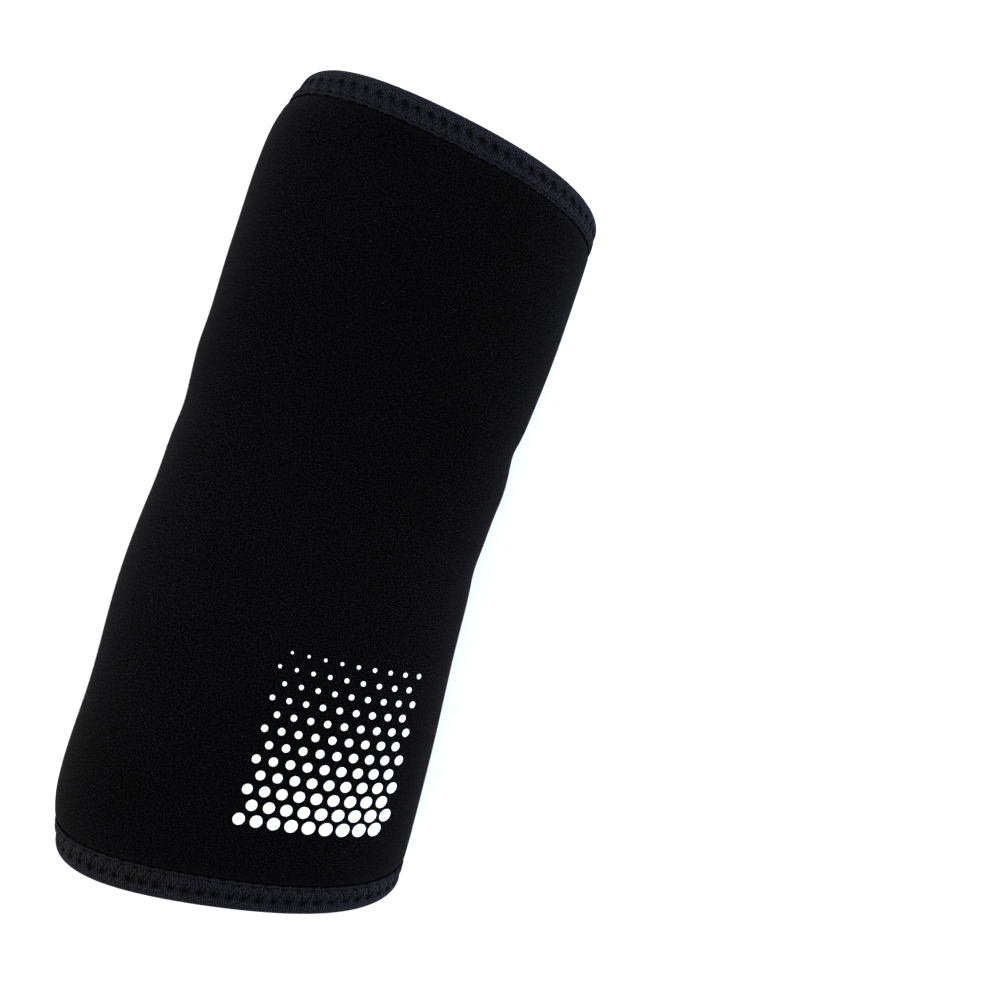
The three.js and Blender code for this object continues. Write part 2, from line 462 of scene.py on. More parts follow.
class BraceColours(bpy.types.PropertyGroup):
    """The colours of the knit, the tape, the thread, the print and the floor."""

    knit: colour_field("Knit", "Of the sleeve's nylon knit", (0.00118, 0.00103, 0.00132))
    tape: colour_field("Tape", "Of the binding tape", (0.0077, 0.0078, 0.0104))
    thread: colour_field("Thread", "Of the sewing thread", (0.0125, 0.0126, 0.0155))
    ink: colour_field("Ink", "Of the printed dots", (0.78, 0.8, 0.8))
    floor: colour_field("Floor", "Of the floor", (0.95, 0.95, 0.95))


class StageSizes(bpy.types.PropertyGroup):
    """The camera and the lights."""

    camera_height: length_field("Camera height", "Of the camera over the floor", 757 * MM)
    camera_turn: angle_field("Camera turn", "How far the camera is turned about the upright", 16.3)
    pixels_per_metre: number_field(
        "Scale", "Pixels to a metre at the height of the centre line's middle", 3400.0
    )
    surrounding: number_field("Surrounding light", "Strength of the even light from all round", 1.1)
    left_power: power_field("Left softbox", "Power of the large light low on the left", 19.0)
    right_power: power_field("Right softbox", "Power of the cool light low on the right", 18.0)
    back_power: power_field(
        "Back softbox", "Power of the cool light behind the upper arm rim", 10.0
    )


class Form:
    """The sleeve's smooth form as it lies, worked out from the panel's sizes."""

    def __init__(self, sizes):
        self.length, self.width, self.height = sizes.length, sizes.width, sizes.height
        self.bend, self.pitch = sizes.bend, sizes.rim_pitch
        self.skews = (sizes.forearm_skew, sizes.upper_arm_skew)
        self.fullness, self.wall = sizes.fullness, sizes.wall
        self.half_edge = sizes.edge / 2
        self.clearance, self.tape = sizes.clearance, sizes.tape
        self.reach = sizes.clearance + sizes.tape
        self.wall_end = sizes.length / 2 - self.reach
        self.flap_end = sizes.tape_width - self.reach
        self.puff_start = self.flap_end + sizes.clearance
        self.puff_run = sizes.puff_run
        self.tip = self.wall_end - self.half_edge
        lowest = [
            self.free(end * self.tip, -math.pi / 2, self.skin(end * self.tip))[2] for end in (-1, 1)
        ]
        self.rest_height = max(lowest) + sizes.rest_flat
        self.shift = np.zeros(3)
        self.shift = self.place_in_frame()

    def free(self, station, angle, offset):
        """A point before the sleeve is laid down, as x, y and z.

        In its own plane the oval is half width times the cosine, and half height times the sine
        times 1 plus the fullness times the squared cosine. The point goes out along the oval's
        normal. The plane stands on the bent centre line, pitched and turned askew as its share of
        the rims.
        """
        along = station / self.length + 0.5
        half_width = oval_column("half", along) * self.width - self.wall / 2
        share = np.where(
            np.sin(angle) >= 0, oval_column("above", along), oval_column("below", along)
        )
        half_height = share * self.height - self.wall / 2
        cosine, sine = np.cos(angle), np.sin(angle)
        across = half_width * cosine
        up = half_height * sine * (1 + self.fullness * cosine**2)
        across_change = -half_width * sine
        up_change = half_height * cosine * (1 + self.fullness * (cosine**2 - 2 * sine**2))
        crease = hollow_depth(CREASES, along, angle) * self.wall
        outwards = (offset - crease) / np.hypot(across_change, up_change)
        x = across + up_change * outwards
        z = up - across_change * outwards
        radius = self.length / self.bend
        turn = station / radius
        pitch = self.pitch * (2 * along - 1)
        skew = self.skews[0] + (self.skews[1] - self.skews[0]) * along
        return np.array(
            [
                oval_column("side", along) * self.width + x * np.cos(skew),
                radius * np.sin(turn) - x * np.sin(skew) + z * np.sin(pitch),
                radius * (np.cos(turn) - 1) + z * np.cos(pitch),
            ]
        )

    def half_wall(self, distance):
        """Half of the wall's thickness at a distance from its cut edge.

        It is squeezed under the tape. Past it the foam rounds up to its full thickness on a
        quarter of an ellipse.
        """
        short = 1 - np.clip((distance - self.puff_start) / self.puff_run, 0, 1)
        full = np.sqrt(1 - short**2)
        return self.half_edge + (self.wall / 2 - self.half_edge) * full

    def skin(self, station):
        """The offset of the outermost layer: the tape near a rim, and the wall from there on."""
        distance = self.wall_end - np.abs(station)
        return np.maximum(self.half_wall(distance), self.half_edge + self.reach)

    def laid(self, station, angle, offset):
        """Points of the sleeve as it lies, in the frame, with x, y and z on the last axis.

        Where the skin would sink below the surface, its whole thickness is lifted by the softened
        excess: half of the excess plus the root of its square and the softening's square.
        """
        station, angle, offset = np.broadcast_arrays(station, angle, offset)
        points = self.free(station, angle, offset)
        excess = self.rest_height - self.free(station, angle, self.skin(station))[2]
        points[2] += (excess + np.sqrt(excess**2 + REST_SOFTENING**2)) / 2
        return np.moveaxis(points, 0, -1) + self.shift

    def place_in_frame(self):
        """The shift that brings the smooth form's middle over the middle of the frame's box."""
        angle = np.linspace(0, FULL_TURN, BOX_ANGLE_LINES)
        half = self.length / 2
        station = np.linspace(-half, half, BOX_STATION_LINES)[:, None]
        distance = self.wall_end - np.abs(station)
        past_tip = np.clip(self.half_edge - distance, 0, self.half_edge + self.reach)
        fold = np.sqrt((self.half_edge + self.reach) ** 2 - past_tip**2)
        flat = self.half_wall(distance) + np.where(distance < self.flap_end, self.reach, 0)
        offset = np.where(past_tip > 0, fold, flat)
        points = self.free(*np.broadcast_arrays(station, angle, offset)).reshape(3, -1)
        shift = (CAD_LOW + CAD_HIGH) / 2 - (points.min(1) + points.max(1)) / 2
        shift[2] = CAD_LOW[2] - self.rest_height
        return shift

    def arc_table(self, station):
        """Angles round the sleeve and the length of the skin's arc up to each, at one station."""
        angle = np.linspace(0, FULL_TURN, ARC_LINES)
        line = self.laid(station, angle, self.skin(station))
        steps = np.linalg.norm(np.diff(line, axis=0), axis=1)
        return angle, np.concatenate([[0], np.cumsum(steps)])


class Seam:
    """The zigzag seam round one rim: end is 1 at the upper arm and -1 at the forearm."""

    def __init__(self, form, sizes, end):
        self.form, self.end = form, end
        self.count = sizes.stitches
        self.near, self.far = sizes.near_row, sizes.far_row
        self.lean = sizes.upper_arm_lean if end > 0 else sizes.forearm_lean
        self.sink = sizes.upper_arm_sink if end > 0 else sizes.forearm_sink
        self.pull, self.hole = sizes.pull, sizes.hole
        self.radius = sizes.thread / 2
        self.angles, self.arc = form.arc_table(end * (form.wall_end - form.flap_end / 2))
        self.pitch = self.arc[-1] / self.count

    def stitch_at(self, angle):
        """How many stitches lie between angle 0 and an angle, each of the same length."""
        return np.interp(angle, self.angles, self.arc) / self.pitch

    def angle_at(self, stitch):
        """The angle at a number of stitches round the rim."""
        return np.interp(stitch * self.pitch, self.arc, self.angles)

    def sway(self, stitch, waves):
        """A slow unevenness from -1 to 1 that closes round the rim: two sines of whole waves."""
        turn = FULL_TURN * stitch / self.count
        return 0.6 * np.sin(waves * turn) + 0.4 * np.sin((2 * waves + 3) * turn + 1.3)

    def swing(self, stitch):
        """0 at a near needle hole, 1 at the far one, and straight between, on the long leg too."""
        part = stitch % 1
        return np.where(part < self.lean, part / self.lean, (1 - part) / (1 - self.lean))

    def row_at(self, stitch):
        """How far from the tape's edge the zigzag is: a leaning triangle wave between its rows."""
        far = self.far + ROW_UNEVENNESS * self.sway(stitch, 19)
        return self.near + (far - self.near) * self.swing(stitch)

    def sunk(self, stitch):
        """How deep the thread lies: one leg of each zigzag sinks into the tape between its holes."""
        going_out = stitch % 1 < self.lean
        sinks = going_out if self.end > 0 else ~going_out
        swing = self.swing(stitch)
        return self.sink * np.where(sinks, np.minimum(8 * swing * (1 - swing), 1), 0)

    def from_holes(self, stitch, flap):
        """The ways to the nearest far and near needle hole: round the rim, and across the tape."""
        to_near = self.pitch * ((stitch + 0.5) % 1 - 0.5)
        to_far = self.pitch * ((stitch - self.lean + 0.5) % 1 - 0.5)
        return to_far, flap - self.far, to_near, flap - self.near

    def relief(self, stitch, flap):
        """How far the tape's face stands out at a distance flap from its edge.

        The face dips to each leg of the zigzag: it comes back up within a short way towards the
        tape's edge, which leaves a puff there, and over a long way towards the rolled rim. The
        needle holes are round bells, deep and with a wide skirt in the far row. A groove runs
        along the near row, and the tape's edge beside it stands up as a lip.
        """
        run = self.pitch * np.where(stitch % 1 < self.lean, self.lean, 1 - self.lean)
        beyond = flap - self.row_at(stitch)
        from_leg = np.abs(beyond) * run / np.hypot(run, self.far - self.near)
        inner = bell(from_leg, DIP_REACH_TO_EDGE)
        outer = np.exp(-from_leg / DIP_REACH_TO_ROLL)
        dip = np.where(beyond < 0, inner, outer)
        begins = smooth_share(flap, 0.5 * MM, self.near)
        ends = smooth_share(flap, self.far + 0.3 * MM, self.far + 1.7 * MM)
        deep = 1 + 0.3 * self.sway(stitch, 13)
        to_far, past_far, to_near, past_near = self.from_holes(stitch, flap)
        far_hole, near_hole = np.hypot(to_far, past_far), np.hypot(to_near, past_near)
        holes = self.hole * (
            bell(far_hole, FAR_HOLE_REACH)
            + SKIRT_SHARE * bell(far_hole, SKIRT_REACH)
            + NEAR_HOLE_SHARE * bell(near_hole, NEAR_HOLE_REACH)
        )
        groove = GROOVE_DEPTH * bell(flap - GROOVE_FROM_EDGE, GROOVE_REACH)
        puff = PUFF_HEIGHT * np.where(beyond < 0, 1 - inner, 0) * begins * (1 - ends)
        lowest = LEAST_COVER - self.form.reach
        dips = (self.pull * dip * begins * (1 - ends) + holes) * deep + groove
        return np.maximum(puff - dips, lowest)

    def shade(self, stitch, flap):
        """How dark the tape is, from 1 in a needle hole to less than 0 on the lip at its edge.

        It is painted shade, with a painted highlight on the lip. The whole stitched band is painted a
        little dark, as it lies below the rolled rim. Each far hole has a dark fan towards the tape's
        edge, in the rolled rim's shadow, and a valley beyond the thread fades out with the distance
        from it. The groove inside the lip and the tape's side wall are painted dark too, and at the
        forearm so is the rolled rim.
        """
        side = 1 - smooth_share(flap, 0.05 * MM, 0.2 * MM)
        begins = smooth_share(flap, 0.35 * MM, 0.55 * MM)
        ends = smooth_share(flap, self.far - 0.2 * MM, self.far + 1.3 * MM)
        band = begins * (1 - ends)
        to_far, past_far, to_near, past_near = self.from_holes(stitch, flap)
        uneven = 1 + 0.35 * self.sway(stitch, 16)
        far_spots = spot(HOLE_SPOTS[self.end], to_far, past_far) + spot(FAN_SPOT, to_far, past_far)
        near_spot = spot(NEAR_SPOT, to_near, past_near)
        beyond = flap - self.row_at(stitch)
        valley = np.where(beyond > 0, np.exp(-beyond / VALLEY_RUN), 0) * band
        groove = bell(flap - 0.7 * MM, 0.24 * MM)
        lip = bell(flap - 0.26 * MM, 0.16 * MM)
        # Painted shade where shade falls on the tape, less a painted highlight on the lip.
        return (
            SIDE_SHADE * side
            + BAND_SHADE * band
            + uneven * (far_spots + near_spot)
            + VALLEY_SHADES[self.end] * valley
            + ROLL_SHADES[self.end] * ends
            + GROOVE_SHADE * groove
            + LIP_SHADE * lip
        )

    def drawn_in(self, stitch, distance):
        """How far the tape's edge is drawn towards the rim: most in line with a near hole."""
        wave = 0.5 + 0.5 * np.cos(FULL_TURN * stitch)
        draw = EDGE_DRAW + EDGE_DRAW_UNEVENNESS * self.sway(stitch, 17)
        return draw * wave * bell(self.form.flap_end - distance, EDGE_DRAW_REACH)

    def pucker(self, angle, distance):
        """How deep the sleeve's face beside the tape is drawn in: most in line with a near hole."""
        past = np.maximum(distance - self.form.puff_start, 0)
        stitch = self.stitch_at(angle)
        wave = 0.5 + 0.5 * np.cos(FULL_TURN * stitch)
        depth = PUCKER_DEPTH + PUCKER_UNEVENNESS * self.sway(stitch, 11)
        return depth * wave * np.exp(-past / PUCKER_REACH) * np.minimum(past / PUCKER_START, 1)


def mesh_of(name, points, faces, uv, shade=None):
    """A smooth mesh of points and faces, with the fabric's uv for each corner of each face.

    shade, where there is one, is a number for each point that darkens the material as painted
    shade, and lightens it as a painted highlight where it is below 0.
    """
    mesh = bpy.data.meshes.new(name)
    count, corners = faces.shape
    mesh.vertices.add(len(points))
    mesh.vertices.foreach_set("co", points.astype(np.float32).ravel())
    mesh.loops.add(faces.size)
    mesh.loops.foreach_set("vertex_index", faces.astype(np.int32).ravel())
    mesh.polygons.add(count)
    mesh.polygons.foreach_set("loop_start", np.arange(0, faces.size, corners, dtype=np.int32))
    mesh.polygons.foreach_set("use_smooth", np.ones(count, bool))
    mesh.update(calc_edges=True)
    layer = mesh.uv_layers.new(name="Fabric")
    layer.data.foreach_set("uv", uv.astype(np.float32).ravel())
    if shade is not None:
        values = mesh.attributes.new("Shade", "FLOAT", "POINT")
        values.data.foreach_set("value", shade.astype(np.float32).ravel())
    return mesh


def ring_parts(points, way_round, way_along):
    """A closed surface from points on a grid that joins itself both ways, as parts of a mesh.

    The first axis runs along a closed profile and the second round the sleeve. way_round and
    way_along give the fabric's length at each line, with one value more than there are lines, so
    that the pattern is whole where the grid joins itself.
    """
    rows, columns = points.shape[:2]
    row, column = (lines.ravel() for lines in np.mgrid[0:rows, 0:columns])
    rows_on = np.stack([row, row, row + 1, row + 1], axis=1)
    columns_on = np.stack([column, column + 1, column + 1, column], axis=1)
    faces = (rows_on % rows) * columns + columns_on % columns
    uv = np.stack([way_round[columns_on], way_along[rows_on]], axis=-1)
    return points.reshape(-1, 3), faces, uv


def wall_profile(form):
    """The wall's closed profile, as stations and offsets.

    It runs over the outside from the upper arm to the forearm, round the cut edge there, back
    inside, and round the upper arm's cut edge. Its lines are closest on the rounded shoulders.
    """

    def face(lines, shoulder_lines):
        squeezed = np.linspace(form.half_edge, form.puff_start, SQUEEZED_LINES)
        turn = np.linspace(0, math.pi / 2, shoulder_lines)[1:]
        shoulder = form.puff_start + form.puff_run * (1 - np.cos(turn))
        end = form.wall_end - np.concatenate([squeezed, shoulder])
        return np.concatenate([end, np.linspace(end[-1], -end[-1], lines)[1:-1], -end[::-1]])

    outside = face(OUTSIDE_LINES, OUTSIDE_SHOULDER_LINES)
    inside = -face(INSIDE_LINES, INSIDE_SHOULDER_LINES)
    turn = np.linspace(0, math.pi, CUT_EDGE_LINES + 2)[1:-1]
    forearm = -form.tip - form.half_edge * np.sin(turn)
    edge_offset = form.half_edge * np.cos(turn)
    station = np.concatenate([outside, forearm, inside, -forearm])
    offset = np.concatenate(
        [
            form.half_wall(form.wall_end - np.abs(outside)),
            edge_offset,
            -form.half_wall(form.wall_end - np.abs(inside)),
            -edge_offset,
        ]
    )
    return station, offset


def wall_offset(form, seams, station, angle, side):
    """How far the wall's outside (side 1) or inside (-1) lies from its middle, with its relief.

    The smooth half thickness, less the puckers beside both tapes and the foam's own dents, which
    fade out towards the tapes and are half as deep inside.
    """
    distance = form.wall_end - np.abs(station)
    seam_ends = [np.where(np.sign(station) == seam.end, 1, 0) for seam in seams]
    puckers = sum(seam.pucker(angle, distance) * here for seam, here in zip(seams, seam_ends))
    clear = smooth_share(distance, form.puff_start, form.puff_start + DENTS_FADE)
    depth = hollow_depth(DENTS, station / form.length + 0.5, angle) * form.wall * clear
    return form.half_wall(distance) - puckers - depth * np.where(side > 0, 1, 0.5)


def sleeve_parts(form, seams):
    """The foam rubber sleeve: its profile carried round, with the relief on both faces."""
    station, offset = (column[:, None] for column in wall_profile(form))
    angle = np.arange(ROUND_LINES) * FULL_TURN / ROUND_LINES
    side = np.sign(offset)
    on_face = np.abs(station) <= form.tip
    relief = wall_offset(form, seams, station, angle, side) * side
    points = form.laid(station, angle, np.where(on_face, relief, offset))
    angles, arc = form.arc_table(0.0)
    way_round = np.interp(np.linspace(0, FULL_TURN, ROUND_LINES + 1), angles, arc)
    way_along = np.append(station[:, 0], station[0, 0])
    return ring_parts(points, way_round, way_along)


def tape_profile(form):
    """The folded tape's closed profile, from its edge outside, over the fold, to its edge inside.

    Each row holds the distance from the wall's cut edge, the offset, the outward normal's two
    parts, the way along the face from the nearest edge of the tape, and 1 on the face or 0 on
    the back and the edges. The face lies at the squeezed wall's half thickness plus the tape's
    reach, with a half circle round the cut edge, and the back runs the same way at the clearance.
    The lines are closest by the tape's edge.
    """
    edge_radius = form.tape / 2
    start = form.flap_end - edge_radius

    def flap(reach, lines, on_face, side):
        distance = start - (start - form.half_edge) * np.linspace(0, 1, lines) ** EDGE_CROWDING
        offset = np.full(lines, side * (form.half_edge + reach))
        level = np.zeros(lines)
        way = form.flap_end - distance
        return np.column_stack([distance, offset, level, level + side, way, level + on_face])

    def fold(reach, lines, on_face):
        turn = np.linspace(math.pi / 2, -math.pi / 2, lines + 2)[1:-1]
        radius = form.half_edge + reach
        along, out = np.cos(turn), np.sin(turn)
        way = form.flap_end - form.half_edge + radius * (math.pi / 2 - np.abs(turn))
        face = np.full(lines, on_face)
        distance = form.half_edge - radius * along
        return np.column_stack([distance, radius * out, -along, out, way, face])

    def layer(reach, outside_lines, fold_lines, inside_lines, on_face):
        outside = flap(reach, outside_lines, on_face, 1)
        inside = flap(reach, inside_lines, on_face, -1)[::-1]
        return np.concatenate([outside, fold(reach, fold_lines, on_face), inside])

    turn = np.linspace(math.pi / 2, -math.pi / 2, TAPE_EDGE_LINES + 2)[1:-1]
    middle = form.half_edge + form.clearance + edge_radius
    nothing = np.zeros(TAPE_EDGE_LINES)
    edge = np.column_stack(
        [start + edge_radius * np.cos(turn), middle + edge_radius * np.sin(turn)]
        + [np.cos(turn), np.sin(turn), nothing, nothing]
    )
    face = layer(form.reach, OUTSIDE_FLAP_LINES, FACE_FOLD_LINES, INSIDE_FLAP_LINES, 1)
    back = layer(form.clearance, BACK_FLAP_LINES, BACK_FOLD_LINES, BACK_FLAP_LINES, 0)
    return np.concatenate([face, edge * [1, -1, 1, -1, 1, 1], back[::-1], edge[::-1]])


def tape_parts(form, seam):
    """A folded tape: its profile carried round the rim, pushed along its normal by the relief."""
    profile = tape_profile(form)
    distance, offset, normal_in, normal_out, flap, on_face = (c[:, None] for c in profile.T)
    columns = seam.count * STITCH_LINES
    stitch = np.arange(columns) / STITCH_LINES
    angle = seam.angle_at(stitch)
    relief = seam.relief(stitch, flap) * on_face
    # Painted shade for each point, which the tape's material reads from the Shade attribute.
    shade = np.clip(seam.shade(stitch, flap), PALEST_SHADE, DEEPEST_SHADE)
    moved = distance + normal_in * relief - seam.drawn_in(stitch, distance)
    station = seam.end * (form.wall_end - moved)
    points = form.laid(station, angle, offset + normal_out * relief)
    points[..., 2] = np.maximum(points[..., 2], CAD_LOW[2])
    if seam.end < 0:
        points, shade = points[::-1], shade[::-1]
    steps = np.linalg.norm(np.diff(points[:, 0], axis=0, append=points[:1, 0]), axis=1)
    way_along = np.concatenate([[0], np.cumsum(steps)])
    way_round = np.append(stitch, seam.count) * seam.pitch
    return *ring_parts(points, way_round, way_along), shade


def thread_parts(form, seam, side):
    """A thread: rings of points round the zigzag's path, outside (side 1) or inside (side -1).

    The path follows the zigzag in its valley and dives through the tape at each needle hole. Its
    lines are closest there: on each leg they lie at a half of 1 less a cosine. A ring is the path
    plus radius times the cosine of the outward normal and the sine of its cross product with the
    way along.
    """
    share = (1 - np.cos(np.arange(LEG_LINES) * math.pi / LEG_LINES)) / 2
    part = np.concatenate([seam.lean * share, seam.lean + (1 - seam.lean) * share])
    stitch = (np.arange(seam.count)[:, None] + part).ravel()
    flap = seam.row_at(stitch)
    distance = form.flap_end - flap
    to_far, past_far, to_near, past_near = seam.from_holes(stitch, flap)
    dive = bell(np.hypot(to_far, past_far), FAR_DIVE_REACH)
    dive += bell(np.hypot(to_near, past_near), NEAR_DIVE_REACH)
    height = seam.relief(stitch, flap) + THREAD_STAND * seam.radius
    height -= DIVE_DEPTH * dive + seam.sunk(stitch)
    offset = side * (form.half_edge + form.reach + height)
    station = seam.end * (form.wall_end - distance)
    angle = seam.angle_at(stitch)
    path = form.laid(station, angle, offset)
    path[:, 2] = np.maximum(path[:, 2], CAD_LOW[2] + 0.5 * seam.radius)
    normal = form.laid(station, angle, offset + side * MM) - path
    way = np.roll(path, -1, axis=0) - np.roll(path, 1, axis=0)
    way /= np.linalg.norm(way, axis=1, keepdims=True)
    normal -= way * (normal * way).sum(1, keepdims=True)
    normal /= np.linalg.norm(normal, axis=1, keepdims=True)
    across = np.cross(way, normal)
    turn = (np.arange(THREAD_SIDES) * FULL_TURN / THREAD_SIDES)[:, None, None]
    points = path + seam.radius * (np.cos(turn) * normal + np.sin(turn) * across)
    steps = np.linalg.norm(np.diff(path, axis=0, append=path[:1]), axis=1)
    way_round = np.concatenate([[0], np.cumsum(steps)])
    way_along = np.arange(THREAD_SIDES + 1) * FULL_TURN * seam.radius / THREAD_SIDES
    return ring_parts(points, way_round, way_along)


def joined(parts):
    """Several meshes' parts as one mesh's, with each one's corners counted on from the last's."""
    counts = np.cumsum([0] + [len(points) for points, _, _ in parts])
    faces = [faces + start for (_, faces, _), start in zip(parts, counts)]
    points, _, uv = zip(*parts)
    return np.concatenate(points), np.concatenate(faces), np.concatenate(uv)


def dot_places(sizes):
    """The printed dots' middles, along the sleeve and round it from the crown, and their radii.

    Rows are a pitch times the root of 3/4 apart and every second one is half a pitch aside. The
    radius falls evenly with a share that is mostly the row's and partly the column's.
    """
    row, column = (lines.ravel() for lines in np.mgrid[0 : sizes.rows, 0 : sizes.columns])
    aside = column - (sizes.columns - 1) / 2 + 0.5 * (row % 2) - 0.25
    along = (row - (sizes.rows - 1) / 2) * math.sqrt(0.75)
    share = 0.78 * row / (sizes.rows - 1) + 0.22 * (1 - column / (sizes.columns - 1))
    radius = sizes.largest + (sizes.smallest - sizes.largest) * share
    return sizes.station + along * sizes.pitch, sizes.from_crown + aside * sizes.pitch, radius


def print_parts(form, seams, sizes):
    """The printed dots: low round films that follow the sleeve's face.

    Each is a middle point, rings at DOT_RINGS' shares of the radius and of the ink's height over
    the face, and a middle point under the face, so that it is closed.
    """
    station, from_crown, radius = (column[:, None, None] for column in dot_places(sizes))
    angles, arc = form.arc_table(sizes.station)
    crown = np.interp(math.pi / 2, angles, arc)
    share, height = (column[None, :, None] for column in DOT_RINGS.T)
    turn = np.arange(DOT_SIDES) * FULL_TURN / DOT_SIDES
    stations = station + radius * share * np.sin(turn)
    round_arc = crown - from_crown + radius * share * np.cos(turn)
    lifts = height * sizes.ink + np.zeros(stations.shape)

    def with_poles(values):
        first, last = values[:, :1, :1], values[:, -1:, :1]
        dots = len(values)
        return np.concatenate(
            [first.reshape(dots, 1), values[:, 1:-1].reshape(dots, -1), last.reshape(dots, 1)], axis=1
        )

    stations, round_arc, lifts = (with_poles(v) for v in (stations, round_arc, lifts))
    angle = np.interp(round_arc, arc, angles)
    face = wall_offset(form, seams, stations, angle, 1)
    points = form.laid(stations, angle, face + lifts)

    rings = len(DOT_RINGS) - 2
    side = np.arange(DOT_SIDES)
    beside = (side + 1) % DOT_SIDES
    last = rings * DOT_SIDES + 1
    top = np.stack([0 * side, 1 + side, 1 + beside], axis=1)
    bottom = np.stack([last + 0 * side, last - DOT_SIDES + beside, last - DOT_SIDES + side], axis=1)
    start = 1 + np.arange(rings - 1)[:, None] * DOT_SIDES
    near, far = start + side, start + DOT_SIDES + side
    near_on, far_on = start + beside, start + DOT_SIDES + beside
    bands = np.stack([near, far, near_on, near_on, far, far_on], axis=-1).reshape(-1, 3)
    faces = np.concatenate([top, bands, bottom])
    dots = points.shape[0]
    faces = (faces + (np.arange(dots) * points.shape[1])[:, None, None]).reshape(-1, 3)
    middle_angles, middle_arc = form.arc_table(0.0)
    fabric = np.stack([np.interp(angle, middle_angles, middle_arc), stations], axis=-1)
    return points.reshape(-1, 3), faces, fabric.reshape(-1, 2)[faces]


class Net:
    """Adds nodes to a node tree and joins them."""

    def __init__(self, tree):
        self.tree = tree

    def add(self, kind, inputs=None, **settings):
        """A new node with its settings, and its inputs fed by name or number."""
        node = self.tree.nodes.new(kind)
        for name, value in settings.items():
            setattr(node, name, value)
        for name, value in (inputs or {}).items():
            self.feed(node.inputs[name], value)
        return node

    def feed(self, socket, value):
        """Links an output to the socket, or sets the socket's own value."""
        if isinstance(value, bpy.types.NodeSocket):
            self.tree.links.new(value, socket)
        else:
            socket.default_value = value

    def maths(self, operation, *values, clamped=False):
        """The result of a Math node."""
        node = self.add("ShaderNodeMath", dict(enumerate(values)), operation=operation)
        node.use_clamp = clamped
        return node.outputs[0]

    def mixed(self, factor, first, second):
        """A colour between two, by a factor."""
        inputs = {0: factor, 6: first, 7: second}
        return self.add("ShaderNodeMix", inputs, data_type="RGBA").outputs[2]


def new_group(name, inputs, outputs):
    """An empty shader node group with named inputs and outputs, its net, and its two ends."""
    tree = bpy.data.node_groups.new(name, "ShaderNodeTree")
    for direction, sockets in (("INPUT", inputs), ("OUTPUT", outputs)):
        for socket_name, kind in sockets.items():
            tree.interface.new_socket(name=socket_name, in_out=direction, socket_type=kind)
    net = Net(tree)
    return tree, net, net.add("NodeGroupInput"), net.add("NodeGroupOutput")


def knit_group():
    """Rows of knitted loops.

    The height is a half of 1 plus the sine of the way along in courses, swayed by the sine of
    the way round in wales, and a little lower between two wales.
    """
    tree, net, start, end = new_group(
        "Knit loops",
        {"Fabric": "NodeSocketVector", "Course": "NodeSocketFloat", "Wale": "NodeSocketFloat"},
        {"Height": "NodeSocketFloat"},
    )
    parts = net.add("ShaderNodeSeparateXYZ", {0: start.outputs["Fabric"]}).outputs
    wales = net.maths("MULTIPLY", net.maths("DIVIDE", parts[0], start.outputs["Wale"]), FULL_TURN)
    rows = net.maths("DIVIDE", parts[1], start.outputs["Course"])
    courses = net.maths("MULTIPLY", rows, FULL_TURN)
    sway = net.maths("MULTIPLY", net.maths("SINE", wales), 0.9)
    loops = net.maths("MULTIPLY_ADD", net.maths("SINE", net.maths("ADD", courses, sway)), 0.5, 0.5)
    dips = net.maths("MULTIPLY_ADD", net.maths("COSINE", wales), 0.16, 0.84)
    net.feed(end.inputs["Height"], net.maths("MULTIPLY", loops, dips))
    return tree


def grain_group():
    """Fine uneven grain over the fabric, from 0 to 1: a noise stretched round and along it."""
    tree, net, start, end = new_group(
        "Fabric grain",
        {
            "Fabric": "NodeSocketVector",
            "Round": "NodeSocketFloat",
            "Along": "NodeSocketFloat",
            "Detail": "NodeSocketFloat",
            "Contrast": "NodeSocketFloat",
        },
        {"Grain": "NodeSocketFloat"},
    )
    parts = net.add("ShaderNodeSeparateXYZ", {0: start.outputs["Fabric"]}).outputs
    across = net.maths("DIVIDE", parts[0], start.outputs["Round"])
    along = net.maths("DIVIDE", parts[1], start.outputs["Along"])
    place = net.add("ShaderNodeCombineXYZ", {0: across, 1: along}).outputs[0]
    inputs = {"Vector": place, "Scale": 1.0, "Detail": start.outputs["Detail"]}
    noise = net.add("ShaderNodeTexNoise", inputs)
    level = net.maths("SUBTRACT", noise.outputs[0], 0.5)
    spread = net.maths("MULTIPLY_ADD", level, start.outputs["Contrast"], 0.5, clamped=True)
    net.feed(end.inputs["Grain"], spread)
    return tree


def lint_group():
    """Sparse specks of lint: round spots at some of a cell pattern's points.

    A cell has a speck where its random red is under Share, and the speck is as strong as its
    random green. The mask falls from that at the point to 0 at Radius cells from it.
    """
    tree, net, start, end = new_group(
        "Lint",
        {
            "Fabric": "NodeSocketVector",
            "Spacing": "NodeSocketFloat",
            "Radius": "NodeSocketFloat",
            "Share": "NodeSocketFloat",
        },
        {"Mask": "NodeSocketFloat"},
    )
    scale = net.maths("DIVIDE", 1.0, start.outputs["Spacing"])
    cells = net.add(
        "ShaderNodeTexVoronoi",
        {"Vector": start.outputs["Fabric"], "Scale": scale},
        voronoi_dimensions="2D",
    )
    nearness = net.maths("DIVIDE", cells.outputs["Distance"], start.outputs["Radius"])
    spot = net.maths("SUBTRACT", 1.0, nearness, clamped=True)
    random = net.add("ShaderNodeSeparateColor", {0: cells.outputs["Color"]}).outputs
    chosen = net.maths("LESS_THAN", random[0], start.outputs["Share"])
    strength = net.maths("MULTIPLY", chosen, random[1])
    net.feed(end.inputs["Mask"], net.maths("MULTIPLY", spot, strength))
    return tree


def placed(net, group, fabric, **values):
    """A shared group placed in a material, with its own values."""
    node = net.add("ShaderNodeGroup", node_tree=group)
    net.feed(node.inputs["Fabric"], fabric)
    for name, value in values.items():
        net.feed(node.inputs[name.capitalize()], value)
    return node.outputs[0]


